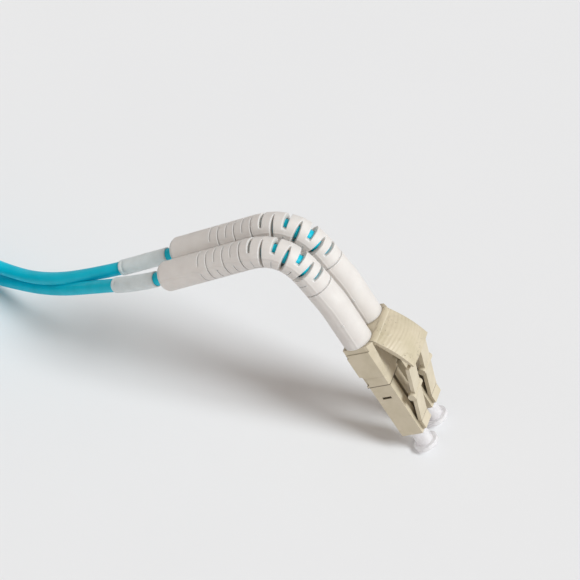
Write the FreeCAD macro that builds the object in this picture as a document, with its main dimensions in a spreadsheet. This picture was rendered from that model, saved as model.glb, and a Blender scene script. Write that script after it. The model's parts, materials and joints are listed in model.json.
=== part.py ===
"""Duplex LC fibre connector with slotted angled boots, on two cords.

Each piece is made in the plug's own frame, in millimetres: the origin is midway between the two
plug axes at their front faces, +X points out of the nose, +Y from the near plug to the far plug
and +Z to the latch side.  One placement then stands the whole connector on its two dust caps,
nose down.  The cords, their labels and the hank are made in the standing frame.
"""
import FreeCAD
import Part
import Sketcher
import math
import os
from FreeCAD import Placement, Rotation, Vector

SIZES = {
    # the plug housings
    "plug_pitch": (6.25, "between the two plug axes"),
    "plug_side": (4.5, "side of the square housing"),
    "plug_length": (12.1, "housing, nose face to clip"),
    "edge_bevel": (0.35, "bevel along the lower edges"),
    "nose_bore": (3.2, "round mouth round the ferrule"),
    "nose_depth": (5.2, "depth of that mouth"),
    "nose_wall": (0.8, "wall behind the mouth"),
    "wall_bore": (2.0, "hole in that wall"),
    "rear_bore": (3.0, "chamber of the flange and spring"),
    "channel_wide": (0.8, "top channel under the latch arm"),
    "channel_depth": (0.45, "top channel"),
    "window_long": (0.5, "snap window along the plug"),
    "window_tall": (1.8, "snap window's height"),
    "window_back": (9.5, "snap window's rear edge, from the nose"),
    # the latch arms
    "hinge_x": (2.5, "latch hinge, behind the nose face"),
    "hinge_z": (2.78, "latch hinge, above the plug axis"),
    "hinge_bead": (0.38, "radius of the hinge's root bead"),
    "hinge_gap": (0.05, "running gap round a root bead"),
    "arm_width": (3.1, "latch arm"),
    "arm_thick": (0.72, "latch arm"),
    "arm_end_x": (14.0, "end of the arm, behind the nose face"),
    "arm_end_z": (6.5, "end of the arm, above the plug axis"),
    "lug_x": (8.2, "latching lugs, behind the nose face"),
    "lug_z": (4.45, "latching lugs, above the plug axis"),
    "lug_radius": (0.7, "latching lugs"),
    "lug_span": (4.4, "across both lugs of an arm"),
    "hump_length": (2.1, "root hump along the plug"),
    "hump_top": (3.0, "root hump, above the plug axis"),
    # the duplex clip
    "clip_length": (9.2, "along the plugs"),
    "clip_margin": (0.18, "clip wider than the housings, each side"),
    "clip_height": (4.86, "over its raised middle"),
    "clip_bevel": (0.2, "top side edges"),
    "clip_bore": (3.9, "round each rear body"),
    "band_step": (0.14, "bands at both ends, below the raised middle"),
    "front_band": (2.3, "band at the plugs' end"),
    "rear_band": (1.2, "band at the boots' end"),
    "cheek_rise": (0.9, "cheeks beside the trigger's root, above the raised middle"),
    "cheek_gap": (0.1, "cheeks from the trigger"),
    "notch_long": (2.4, "slot in each lower side edge"),
    "notch_tall": (0.8, "slot in each lower side edge"),
    "notch_deep": (0.5, "slot in each lower side edge"),
    "notch_front": (0.4, "slot behind the clip's front"),
    "nick_long": (0.7, "nick near the rear of each lower side edge"),
    "nick_tall": (0.35, "nick"),
    "valley_width": (1.4, "between the two halves"),
    "valley_depth": (0.5, "between the two halves"),
    # the trigger
    "trigger_width": (8.4, "over both latches"),
    "trigger_hinge_x": (20.6, "trigger hinge, behind the nose face"),
    "trigger_hinge_z": (3.1, "trigger hinge, above the plug axis"),
    "trigger_bead": (0.45, "radius of its root bead"),
    "root_x": (21.28, "upper edge of the trigger's root, behind the nose face"),
    "root_z": (3.35, "upper edge of its root, above the plug axis"),
    "tip_x": (14.1, "upper edge of its tip, behind the nose face"),
    "tip_z": (7.95, "upper edge of its tip, above the plug axis"),
    "crown_rise": (1.2, "bulge of its top along the middle, over a straight line"),
    "side_rise": (0.5, "bulge of its top along the sides"),
    "side_under": (0.06, "bulge of its underside along the sides"),
    "root_thick": (0.4, "trigger at its root"),
    "tip_thick": (0.75, "trigger at its tip, in the middle"),
    "side_thick": (0.35, "trigger at the tip's corners"),
    "side_drop": (0.15, "tip's corners below its middle"),
    "hinge_lip": (0.2, "clip's lip behind the root bead, below the hinge"),
    # ferrule, flange, spring
    "ferrule_size": (1.25, "ferrule diameter"),
    "ferrule_reach": (1.8, "tip in front of the nose face"),
    "ferrule_back": (6.6, "rear end, behind the nose face"),
    "ferrule_bevel": (0.2, "tip"),
    "flange_size": (2.8, "collar diameter"),
    "flange_thick": (1.0, "collar"),
    "flange_neck": (1.8, "neck in the wall's hole"),
    "flange_tail": (1.5, "tail inside the spring"),
    "tail_length": (2.0, "tail behind the collar"),
    "tail_bore": (1.0, "for the inner fibre tube"),
    "seat_gap": (0.05, "collar to the nose wall"),
    "spring_wire": (0.28, "wire diameter"),
    "spring_mean": (2.0, "mean coil diameter"),
    "spring_turns": (5.0, "turns"),
    # rear body, crimp, inner tube
    "sleeve_size": (2.94, "front sleeve inside the housing"),
    "sleeve_bore": (2.5, "spring chamber"),
    "sleeve_front": (8.8, "front of the sleeve, behind the nose face"),
    "spring_seat": (12.4, "spring seat, behind the nose face"),
    "rear_size": (3.8, "rear body in the clip"),
    "post_size": (2.4, "post under the crimp"),
    "post_length": (4.7, "post behind the clip"),
    "post_bore": (1.3, "through the rear body"),
    "tooth_long": (0.3, "snap tooth"),
    "tooth_tall": (0.9, "snap tooth"),
    "tooth_reach": (1.9, "snap tooth, from the plug axis"),
    "crimp_size": (3.4, "crimp sleeve over the post"),
    "crimp_waist": (3.1, "crimp sleeve over the jacket"),
    "crimp_bore": (2.5, "crimp sleeve"),
    "crimp_length": (7.5, "crimp sleeve"),
    "crimp_taper": (0.5, "between its two diameters"),
    "crimp_start": (0.3, "crimp sleeve behind the clip"),
    "tube_size": (0.9, "inner fibre tube"),
    "tube_front": (7.6, "its front end, behind the nose face"),
    # dust caps
    "cap_size": (3.0, "cap tube"),
    "cap_inside": (4.2, "how far it reaches into the mouth"),
    "cap_bore": (1.35, "over the ferrule"),
    "cap_floor": (2.0, "end of that bore, in front of the nose face"),
    "cap_reach": (4.5, "cap's outer end"),
    "rim_size": (4.5, "cap's rim"),
    "rim_thick": (0.8, "cap's rim"),
    # boots
    "boot_size": (5.3, "outside"),
    "boot_root": (13.0, "smooth stretch behind the clip"),
    "lean_start": (7.8, "straight stretch round the crimp sleeve"),
    "boot_lean": (7.5, "degrees that the root leans after that"),
    "lean_step": (0.8, "between those steps"),
    "first_slot": (2.5, "root's end to the first slot station"),
    "bend_pitch": (1.79, "between slot stations in the bend"),
    "boot_turn": (85.5, "degrees that the boot turns in its bend"),
    "boot_end": (9.1, "last slot station to the boot's end"),
    "boot_bore": (3.0, "round the cord, at the boot's end"),
    "ring_bore": (3.4, "round the cord, inside the rings"),
    "mouth_long": (6.0, "length of the narrower bore at the boot's end"),
    "root_bore": (3.6, "round the crimp sleeve"),
    "root_depth": (8.6, "depth of that wider bore"),
    "boot_bevel": (0.5, "bevel of the cord end"),
    "end_slots": (5, "slot stations after the bend"),
    "end_pitch": (1.76, "between stations after the bend"),
    "slot_line": (0.2, "slot after the bend"),
    "slot_share": (0.7, "width beside the strips over full width, even stations"),
    "slot_least": (0.12, "slot on the side that the bend closes"),
    "slot_web": (1.4, "width of the strips that join the rings"),
    "web_roll": (24.0, "degrees that the strips are rolled about the boot's line"),
    "groove_wide": (0.25, "ring groove at the end of the root"),
    "groove_deep": (0.35, "ring groove"),
    # cords
    "cord_size": (2.4, "jacket diameter"),
    "cord_inset": (1.0, "where the held stretch ends, inside the boot"),
    "cord_lead": (6.0, "how far the free cord keeps the boot's line"),
    "label_size": (3.0, "label sleeve outside"),
    "label_bore": (2.5, "label sleeve inside"),
    "label_start": (1.6, "label behind the boot"),
    "label_long": (9.4, "label sleeve"),
    # the hank of unseen cord
    "hank_x": (-91.0, "its near end"),
    "hank_y": (0.2, "its middle line"),
    "hank_inner": (6.0, "inside radius of its folds"),
    "hank_wide": (7.2, "width of its bundle of turns"),
    "hank_tall": (14.4, "height of its bundle of turns"),
    "hank_straight": (20.0, "straight part of its turns"),
    "tie_width": (6.0, "tie along the hank"),
    "tie_thick": (0.6, "tie"),
    "tie_gap": (0.3, "tie round the hank"),
    # how it stands
    "nose_down": (59.3, "degrees that the nose points down"),
    "origin_x": (0.0, "moves the box's middle to x = 0"),
}

# Routes of the two cords from where they leave the boots' line to the hank, in the standing frame
# before origin_x.
NEAR_ROUTE = [(-58.3, -0.2, 18.8), (-71.3, 5.2, 8.4), (-84.0, 10.4, 2.3), (-94.0, 11.9, 1.7)]
FAR_ROUTE = [(-58.6, 2.9, 20.2), (-71.5, 5.0, 11.6), (-83.4, 10.2, 6.2), (-93.8, 11.6, 7.8)]

# Share of the bend that the boots turn in each of its slot stations, and the slots' widths there.
BEND_SHARES = (0.04, 0.11, 0.16, 0.19, 0.19, 0.16, 0.11, 0.04)
BEND_SLOTS = (0.7, 0.95, 1.15, 0.95, 1.05, 0.6, 0.7, 0.25)
LEAN_STEPS = 3

SIDES = {"near": -1, "far": 1}


class Size:
    """A number of the sheet, or a sum of such numbers, that knows its own formula."""

    def __init__(self, value, text):
        self.value = value
        self.text = text

    def __add__(self, other):
        return Size(self.value + number(other), f"({self.text} + {formula(other)})")

    def __sub__(self, other):
        return Size(self.value - number(other), f"({self.text} - {formula(other)})")

    def __mul__(self, other):
        return Size(self.value * number(other), f"({self.text} * {formula(other)})")

    def __truediv__(self, other):
        return Size(self.value / number(other), f"({self.text} / {formula(other)})")

    def __neg__(self):
        return Size(-self.value, f"(0 - {self.text})")

    def __radd__(self, other):
        return Size(other, str(other)) + self


def number(size):
    return size.value if isinstance(size, Size) else size


def formula(size):
    return size.text if isinstance(size, Size) else str(size)


class Sheet:
    """The driving sizes: each alias of the spreadsheet is an attribute that gives its Size."""

    def __init__(self, document):
        self.cells = document.addObject("Spreadsheet::Sheet", "Sizes")
        for row, (alias, (value, note)) in enumerate(SIZES.items(), start=1):
            self.cells.set(f"A{row}", str(value))
            self.cells.setAlias(f"A{row}", alias)
            self.cells.set(f"B{row}", note)
        document.recompute()

    def __getattr__(self, alias):
        return Size(float(self.cells.get(alias)), f"Sizes.{alias}")


doc = FreeCAD.newDocument("lc_duplex")
S = Sheet(doc)
COS_DOWN = Size(math.cos(math.radians(S.nose_down.value)), "cos(Sizes.nose_down * 1 deg)")
SIN_DOWN = Size(math.sin(math.radians(S.nose_down.value)), "sin(Sizes.nose_down * 1 deg)")
STAND_HEIGHT = S.cap_reach * SIN_DOWN + S.rim_size / 2 * COS_DOWN


# ---- helpers for bodies and sketches

def bind(item, name, size):
    item.setExpression(name, formula(size))


def stand(item, offset_y=0):
    """Place a piece made in the plug's frame: nose down on the dust caps, offset_y across."""
    item.Placement = Placement(Vector(), Rotation(Vector(0, 1, 0), S.nose_down.value))
    bind(item, "Placement.Rotation.Angle", S.nose_down)
    bind(item, "Placement.Base.x", S.origin_x)
    bind(item, "Placement.Base.y", offset_y)
    bind(item, "Placement.Base.z", STAND_HEIGHT)


def new_body(label):
    body = doc.addObject("PartDesign::Body", label)
    body.Label = label
    return body


def sketch_on(body, role, name, offset=0):
    """A sketch on one of the body's origin planes, moved by offset along the plane's normal."""
    sketch = body.newObject("Sketcher::SketchObject", f"{body.Name}_{name}")
    plane = next(feature for feature in body.Origin.OriginFeatures if feature.Role == role)
    sketch.AttachmentSupport = [(plane, "")]
    sketch.MapMode = "FlatFace"
    bind(sketch, "AttachmentOffset.Base.z", offset)
    return sketch


def pin(sketch, edge, point, x, y):
    """Fix one point of an edge by its two distances from the sketch's origin."""
    for kind, size in (("DistanceX", x), ("DistanceY", y)):
        index = sketch.addConstraint(Sketcher.Constraint(kind, -1, 1, edge, point, float(number(size))))
        if isinstance(size, Size):
            bind(sketch, f"Constraints[{index}]", size)


def outline(sketch, corners):
    """A closed outline of straight lines through corners."""
    first = sketch.GeometryCount
    places = [Vector(number(x), number(y), 0) for x, y in corners]
    for here, there in zip(places, places[1:] + places[:1]):
        sketch.addGeometry(Part.LineSegment(here, there), False)
    for index in range(len(corners)):
        following = first + (index + 1) % len(corners)
        sketch.addConstraint(Sketcher.Constraint("Coincident", first + index, 2, following, 1))
    for index, (x, y) in enumerate(corners):
        pin(sketch, first + index, 1, x, y)


def box_outline(sketch, low_x, low_y, high_x, high_y):
    outline(sketch, [(low_x, low_y), (high_x, low_y), (high_x, high_y), (low_x, high_y)])


def circle(sketch, x, y, radius):
    edge = sketch.addGeometry(Part.Circle(Vector(number(x), number(y), 0), Vector(0, 0, 1), number(radius)))
    pin(sketch, edge, 3, x, y)
    index = sketch.addConstraint(Sketcher.Constraint("Radius", edge, float(number(radius))))
    bind(sketch, f"Constraints[{index}]", radius)


def pad(body, sketch, length, both=False, reverse=False):
    feature = body.newObject("PartDesign::Pad", f"{sketch.Name}_pad")
    feature.Profile = sketch
    bind(feature, "Length", length)
    feature.SideType = "Symmetric" if both else "One side"
    feature.Reversed = reverse
    return feature


def pocket(body, sketch, length, both=False, reverse=False):
    feature = body.newObject("PartDesign::Pocket", f"{sketch.Name}_pocket")
    feature.Profile = sketch
    bind(feature, "Length", length)
    feature.SideType = "Symmetric" if both else "One side"
    feature.Reversed = reverse
    return feature


def revolve(body, sketch):
    """Turn a sketch of the XZ plane all the way about the plug's axis."""
    feature = body.newObject("PartDesign::Revolution", f"{sketch.Name}_turned")
    feature.Profile = sketch
    feature.ReferenceAxis = (sketch, ["H_Axis"])
    feature.Angle = 360
    return feature


def turned(label, steps, side):
    """A turned piece: steps are the corners (x, radius) of its half section."""
    body = new_body(label)
    sketch = sketch_on(body, "XZ_Plane", "section")
    outline(sketch, steps)
    revolve(body, sketch)
    stand(body, side_offset(side))
    return body


def side_offset(side):
    return S.plug_pitch / 2 * side


# ---- plug housings and latch arms

def plug_housing(name, side):
    """Square housing with a round mouth, a snap window, a top channel and the latch's root hump."""
    body = new_body(f"{name}_plug_housing")
    half = S.plug_side / 2
    section = sketch_on(body, "YZ_Plane", "section")
    outline(section, [
        (-half + S.edge_bevel, -half), (half - S.edge_bevel, -half),
        (half, -half + S.edge_bevel), (half, half),
        (-half, half), (-half, -half + S.edge_bevel),
    ])
    pad(body, section, S.plug_length, reverse=True)
    hump = sketch_on(body, "XZ_Plane", "hump")
    box_outline(hump, -S.hinge_x, half - 0.2, -S.hinge_x + S.hump_length, S.hump_top)
    pad(body, hump, S.arm_width, both=True)
    cradle = sketch_on(body, "XZ_Plane", "cradle")
    circle(cradle, -S.hinge_x, S.hinge_z, S.hinge_bead + S.hinge_gap)
    pocket(body, cradle, S.plug_side, both=True)
    channel = sketch_on(body, "YZ_Plane", "channel", -S.hinge_x)
    box_outline(channel, -S.channel_wide / 2, half - S.channel_depth, S.channel_wide / 2, half + 1)
    pocket(body, channel, S.plug_length)
    window = sketch_on(body, "XZ_Plane", "window")
    box_outline(window, -S.window_back, -S.window_tall / 2,
                -S.window_back + S.window_long, S.window_tall / 2)
    pocket(body, window, S.plug_side + 1, both=True)
    cut_round(body, "mouth", 0, S.nose_bore / 2, S.nose_depth)
    cut_round(body, "passage", 0, S.wall_bore / 2, S.plug_length)
    chamber_start = S.nose_depth + S.nose_wall
    cut_round(body, "chamber", -chamber_start, S.rear_bore / 2, S.plug_length - chamber_start)
    stand(body, side_offset(side))


def cut_round(body, name, start, radius, depth):
    """A round pocket along the plug's axis from x = start towards the rear."""
    sketch = sketch_on(body, "YZ_Plane", name, start)
    circle(sketch, 0, 0, radius)
    pocket(body, sketch, depth)


def latch_arm(name, side):
    """Springy arm from its root bead up to the tail under the trigger, with a lug on each side."""
    body = new_body(f"{name}_latch_arm")
    arm = sketch_on(body, "XZ_Plane", "arm")
    half = S.arm_thick / 2
    outline(arm, [
        (-S.hinge_x, S.hinge_z - half), (-S.hinge_x, S.hinge_z + half),
        (-S.arm_end_x, S.arm_end_z + half), (-S.arm_end_x, S.arm_end_z - half),
    ])
    pad(body, arm, S.arm_width, both=True)
    bead = sketch_on(body, "XZ_Plane", "bead")
    circle(bead, -S.hinge_x, S.hinge_z, S.hinge_bead)
    pad(body, bead, S.arm_width, both=True)
    lugs = sketch_on(body, "XZ_Plane", "lugs")
    circle(lugs, -S.lug_x, S.lug_z, S.lug_radius)
    pad(body, lugs, S.lug_span, both=True)
    stand(body, side_offset(side))


# ---- duplex clip and trigger

def clip_slab(body, name, half, tall, start, length):
    """A stretch of the clip with bevelled top edges and a shallow valley above and below."""
    valley, floor = S.valley_width / 2, tall - S.valley_depth
    section = sketch_on(body, "YZ_Plane", name, -start)
    outline(section, [
        (-half, -tall), (-valley, -tall), (-valley, -floor),
        (valley, -floor), (valley, -tall), (half, -tall),
        (half, tall - S.clip_bevel), (half - S.clip_bevel, tall),
        (valley, tall), (valley, floor), (-valley, floor), (-valley, tall),
        (-half + S.clip_bevel, tall), (-half, tall - S.clip_bevel),
    ])
    pad(body, section, length, reverse=True)


def clip_cheeks(body, half, tall):
    """Cheeks that rise towards the boots on both sides of the trigger's root."""
    rear = S.plug_length + S.clip_length
    low, high = half - S.clip_bevel, tall + S.cheek_rise
    rise = sketch_on(body, "XZ_Plane", "cheeks")
    outline(rise, [
        (-S.plug_length - S.front_band, tall), (-rear, high), (-rear, tall - S.valley_depth),
        (-S.plug_length - S.front_band, tall - S.valley_depth),
    ])
    pad(body, rise, low * 2, both=True)
    inside = S.trigger_width / 2 + S.cheek_gap
    gap = sketch_on(body, "YZ_Plane", "between_cheeks", -S.plug_length)
    box_outline(gap, -inside, tall, inside, high + 1)
    pocket(body, gap, S.clip_length)
    for hand, name in ((-1, "near_slope"), (1, "far_slope")):
        slope = sketch_on(body, "YZ_Plane", name, -S.plug_length)
        outline(slope, [(low * hand, tall), (low * hand, high + 1), ((low - S.cheek_rise) * hand, high + 1),
                        ((low - S.cheek_rise) * hand, high)])
        pocket(body, slope, S.clip_length)


def clip_notches(body, half, tall):
    """A slot and a nick in each lower side edge."""
    rear = S.plug_length + S.clip_length
    for hand in (-1, 1):
        side = "near" if hand < 0 else "far"
        slot = sketch_on(body, "XZ_Plane", f"{side}_slot", half * -hand)
        front = -S.plug_length - S.notch_front
        round_end = S.notch_tall / 2
        outline(slot, [
            (front, -tall - 1), (front, -tall + round_end), (front - round_end, -tall + S.notch_tall),
            (front - S.notch_long + round_end, -tall + S.notch_tall),
            (front - S.notch_long, -tall + round_end), (front - S.notch_long, -tall - 1),
        ])
        pocket(body, slot, S.notch_deep, reverse=hand > 0)
        nick = sketch_on(body, "XZ_Plane", f"{side}_nick", half * -hand)
        box_outline(nick, -rear + S.rear_band, -tall - 1,
                    -rear + S.rear_band + S.nick_long, -tall + S.nick_tall)
        pocket(body, nick, S.notch_deep / 2, reverse=hand > 0)


def duplex_clip():
    """One-piece clip round both rear bodies, with the cradle of the trigger's hinge."""
    body = new_body("duplex_clip")
    half = S.plug_pitch / 2 + S.plug_side / 2 + S.clip_margin
    tall = S.clip_height / 2
    raised = S.clip_length - S.front_band - S.rear_band
    clip_slab(body, "bands", half - S.band_step, tall - S.band_step, S.plug_length, S.clip_length)
    clip_slab(body, "raised", half, tall, S.plug_length + S.front_band, raised)
    clip_cheeks(body, half, tall)
    clip_notches(body, half, tall)
    rear = S.plug_length + S.clip_length
    hinge = sketch_on(body, "XZ_Plane", "hinge_block")
    box_outline(hinge, -rear, tall - S.valley_depth - S.band_step,
                -S.trigger_hinge_x, S.trigger_hinge_z - S.hinge_lip)
    pad(body, hinge, S.trigger_width, both=True)
    cradle = sketch_on(body, "XZ_Plane", "cradle")
    circle(cradle, -S.trigger_hinge_x, S.trigger_hinge_z, S.trigger_bead + S.hinge_gap)
    pocket(body, cradle, S.trigger_width + S.cheek_gap * 2, both=True)
    bores = sketch_on(body, "YZ_Plane", "bores", -S.plug_length)
    for side in SIDES.values():
        circle(bores, side_offset(side), 0, S.clip_bore / 2)
    pocket(body, bores, S.clip_length)
    stand(body)


def arc_over(sketch, start, end, rise):
    """An arc from start to end, anticlockwise, that bulges by rise over the straight line."""
    (x1, y1), (x2, y2) = start, end
    across, up = x2 - x1, y2 - y1
    radius = (across * across + up * up + rise * rise * 4) / (rise * 8)
    width, height, size = number(across), number(up), number(radius)
    chord = math.hypot(width, height)
    drop = (size - number(rise)) / chord
    centre = Vector(number(x1) + width / 2 - height * drop, number(y1) + height / 2 + width * drop, 0)
    first = math.atan2(number(y1) - centre.y, number(x1) - centre.x)
    last = math.atan2(number(y2) - centre.y, number(x2) - centre.x)
    edge = sketch.addGeometry(Part.ArcOfCircle(Part.Circle(centre, Vector(0, 0, 1), size), first, last))
    index = sketch.addConstraint(Sketcher.Constraint("Radius", edge, size))
    bind(sketch, f"Constraints[{index}]", radius)
    return edge


def trigger_section(body, name, offset, drop, thick, rise, under):
    """Section of the trigger, drop below its middle at the tip: two arcs joined at root and tip."""
    sketch = sketch_on(body, "XZ_Plane", name, offset)
    tip, root = (-S.tip_x, S.tip_z - drop), (-S.root_x, S.root_z)
    low_tip = (-S.tip_x, S.tip_z - drop - thick)
    low_root = (-S.root_x + S.root_thick / 4, S.root_z - S.root_thick)
    top = arc_over(sketch, tip, root, rise)
    bottom = arc_over(sketch, low_tip, low_root, under)
    closing = ((root, low_root, (top, 2), (bottom, 2)), (low_tip, tip, (bottom, 1), (top, 1)))
    for here, there, one, two in closing:
        ends = [Vector(number(x), number(y), 0) for x, y in (here, there)]
        edge = sketch.addGeometry(Part.LineSegment(*ends))
        sketch.addConstraint(Sketcher.Constraint("Coincident", *one, edge, 1))
        sketch.addConstraint(Sketcher.Constraint("Coincident", edge, 2, *two))
        pin(sketch, edge, 1, *here)
        pin(sketch, edge, 2, *there)
    return sketch


def trigger():
    """Broad crowned plate from its root bead at the clip's rear to the tip over both latch tails."""
    body = new_body("trigger")
    half = S.trigger_width / 2
    under = S.crown_rise - S.tip_thick + S.root_thick
    middle = trigger_section(body, "middle", 0, 0, S.tip_thick, S.crown_rise, under)
    edge = (S.side_drop, S.side_thick, S.side_rise, S.side_under)
    sides = [trigger_section(body, name, half * hand, *edge)
             for name, hand in (("far_edge", -1), ("near_edge", 1))]
    plate = body.newObject("PartDesign::AdditiveLoft", "trigger_plate")
    plate.Profile = sides[0]
    plate.Sections = [middle, sides[1]]
    bead = sketch_on(body, "XZ_Plane", "bead")
    circle(bead, -S.trigger_hinge_x, S.trigger_hinge_z, S.trigger_bead)
    pad(body, bead, S.trigger_width, both=True)
    stand(body)


# ---- turned pieces inside and at the nose

def ferrule(name, side):
    radius = S.ferrule_size / 2
    tip = S.ferrule_reach
    return turned(f"{name}_ferrule", [
        (-S.ferrule_back, 0), (tip, 0), (tip, radius - S.ferrule_bevel),
        (tip - S.ferrule_bevel, radius), (-S.ferrule_back, radius),
    ], side)


def ferrule_flange(name, side):
    """Metal collar pressed on the ferrule, with a neck in front and a tail inside the spring."""
    front = -S.nose_depth - S.nose_wall - S.seat_gap
    neck = front + S.nose_wall + 0.1
    back = front - S.flange_thick
    tail = back - S.tail_length
    return turned(f"{name}_ferrule_flange", [
        (neck, S.ferrule_size / 2), (neck, S.flange_neck / 2), (front, S.flange_neck / 2),
        (front, S.flange_size / 2), (back, S.flange_size / 2), (back, S.flange_tail / 2),
        (tail, S.flange_tail / 2), (tail, S.tail_bore / 2),
        (-S.ferrule_back, S.tail_bore / 2), (-S.ferrule_back, S.ferrule_size / 2),
    ], side)


def rear_body(name, side):
    """Spring chamber in front, shoulder in the clip and the post that the crimp grips."""
    shoulder = -S.plug_length
    rear = shoulder - S.clip_length
    body = turned(f"{name}_rear_body", [
        (-S.sleeve_front, S.sleeve_bore / 2), (-S.sleeve_front, S.sleeve_size / 2),
        (shoulder, S.sleeve_size / 2), (shoulder, S.rear_size / 2), (rear, S.rear_size / 2),
        (rear, S.post_size / 2), (rear - S.post_length, S.post_size / 2),
        (rear - S.post_length, S.post_bore / 2), (-S.spring_seat, S.post_bore / 2),
        (-S.spring_seat, S.sleeve_bore / 2),
    ], side)
    middle = -S.window_back + S.window_long / 2
    for hand in (-1, 1):
        tooth = sketch_on(body, "XZ_Plane", "tooth_left" if hand < 0 else "tooth_right",
                          S.sleeve_bore / 2 * hand * -1)
        box_outline(tooth, middle - S.tooth_long / 2, -S.tooth_tall / 2,
                    middle + S.tooth_long / 2, S.tooth_tall / 2)
        pad(body, tooth, S.tooth_reach - S.sleeve_bore / 2, reverse=hand > 0)
    return body


def crimp_sleeve(name, side):
    start = -S.plug_length - S.clip_length - S.crimp_start
    step = -S.plug_length - S.clip_length - S.post_length
    end = start - S.crimp_length
    return turned(f"{name}_crimp_sleeve", [
        (start, S.crimp_bore / 2), (start, S.crimp_size / 2), (step, S.crimp_size / 2),
        (step - S.crimp_taper, S.crimp_waist / 2), (end, S.crimp_waist / 2), (end, S.crimp_bore / 2),
    ], side)


def fibre_tube(name, side):
    end = -S.plug_length - S.clip_length - S.post_length
    return turned(f"{name}_fibre_tube", [
        (-S.tube_front, 0), (-S.tube_front, S.tube_size / 2), (end, S.tube_size / 2), (end, 0),
    ], side)


def dust_cap(name, side):
    """Clear cap: a tube over the ferrule, closed towards its rim."""
    rim = S.cap_reach - S.rim_thick
    return turned(f"{name}_dust_cap", [
        (-S.cap_inside, S.cap_bore / 2), (-S.cap_inside, S.cap_size / 2), (rim, S.cap_size / 2),
        (rim, S.rim_size / 2), (S.cap_reach, S.rim_size / 2), (S.cap_reach, 0),
        (S.cap_floor, 0), (S.cap_floor, S.cap_bore / 2),
    ], side)


def square_section(radius, place, heading):
    """A square section, square to heading too, that stands for a very thin wire's circle."""
    turn = Rotation(Vector(0, 0, 1), heading)
    corners = [turn.multVec(Vector(radius * math.cos(angle), radius * math.sin(angle), 0)) + place
               for angle in (math.radians(90 * step) for step in range(4))]
    return Part.makePolygon(corners + corners[:1])


def ferrule_spring(name, side):
    """Round wire wound between the flange's collar and the seat in the rear body."""
    front = S.nose_depth + S.nose_wall + S.seat_gap + S.flange_thick
    wire = S.spring_wire.value
    start = -front.value - wire
    length = S.spring_seat.value + start - wire
    mean = S.spring_mean.value / 2
    helix = Part.makeHelix(length / S.spring_turns.value, length, mean)
    helix.Placement = Placement(Vector(start, 0, 0), Rotation(Vector(0, 1, 0), -90))
    turns = Part.Wire(helix.Edges)
    first = turns.Edges[0]
    place, heading = first.valueAt(first.FirstParameter), first.tangentAt(first.FirstParameter)
    section = square_section(wire / 2, place, heading)
    coil = turns.makePipeShell([section], True, True)
    add_feature(f"{name}_ferrule_spring", coil, side)


# ---- boots and what they hold

def add_feature(label, shape, side=None):
    """A plain feature with a ready shape; side places it in the plug's frame."""
    feature = doc.addObject("Part::Feature", label)
    feature.Label = label
    feature.Shape = shape
    if side is None:
        bind(feature, "Placement.Base.x", S.origin_x)
    else:
        stand(feature, side_offset(side))
    return feature


def boot_nodes():
    """(distance, turn in degrees) of each place where the boot's line turns: first its lean."""
    first = S.boot_root.value + S.first_slot.value
    bend = [(first + S.bend_pitch.value * index, S.boot_turn.value * share)
            for index, share in enumerate(BEND_SHARES)]
    lean = [(S.lean_start.value + S.lean_step.value * index, S.boot_lean.value / LEAN_STEPS)
            for index in range(LEAN_STEPS)]
    return lean + bend


def boot_station(distance):
    """(place, heading, outward) of the boot's line; where it turns, the heading is half-way."""
    place, walked, angle = Vector(-(S.plug_length + S.clip_length).value, 0, 0), 0.0, 0.0
    way = Vector(-1, 0, 0)
    for node, turn in boot_nodes():
        if distance < node:
            break
        place += way * (node - walked)
        walked = node
        half_way = angle + turn / 2 if distance == node else angle + turn
        angle += turn
        way = Vector(-math.cos(math.radians(angle)), 0, -math.sin(math.radians(angle)))
        if distance == node:
            angle = half_way
            break
    place += way * (distance - walked)
    turn = math.radians(angle)
    heading = Vector(-math.cos(turn), 0, -math.sin(turn))
    return place, heading, Vector(-math.sin(turn), 0, math.cos(turn))


def slot_stations():
    """(distance, width, opening) of each slot station; opening is its own turn, in radians."""
    bend_nodes = boot_nodes()[LEAN_STEPS:]
    bend = [(node, width, math.radians(turn)) for (node, turn), width in zip(bend_nodes, BEND_SLOTS)]
    last = bend[-1][0]
    return bend + [(last + S.end_pitch.value * (index + 1), S.slot_line.value, 0)
                   for index in range(int(S.end_slots.value))]


def boot_length():
    return slot_stations()[-1][0] + S.boot_end.value


def slot_cutters(index, distance, width, opening):
    """The two slots of a station, one on each side of the strips that join its rings.

    The strips of even stations lie beside the boot's line, so their slots open and close with
    the bend; the others lie a quarter turn further round and have slots alike.
    """
    place, heading, outward = boot_station(distance)
    roll = math.radians(S.web_roll.value + (0 if index % 2 == 0 else 90))
    strips = Vector(0, -1, 0) * math.cos(roll) + outward * math.sin(roll)
    across = Vector(0, -1, 0) * -math.sin(roll) + outward * math.cos(roll)
    web, reach = S.slot_web.value / 2, S.boot_size.value / 2 + 1
    outside = S.boot_size.value / 2
    cutters = []
    for hand in (-1, 1):
        closing = index % 2 == 0 and hand < 0 and opening > 0
        wide = S.slot_least.value if closing else width
        narrow = wide * S.slot_share.value if index % 2 == 0 else min(wide, S.slot_line.value)
        slope = (wide - narrow) / (outside - web)
        corners = []
        for out, way in ((web, -1), (web, 1), (reach, 1), (reach, -1)):
            half = (narrow + slope * (out - web)) / 2
            corners.append(place + across * (out * hand) + heading * (half * way) - strips * reach)
        face = Part.Face(Part.makePolygon(corners + corners[:1]))
        cutters.append(face.extrude(strips * (2 * reach)))
    return cutters


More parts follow.
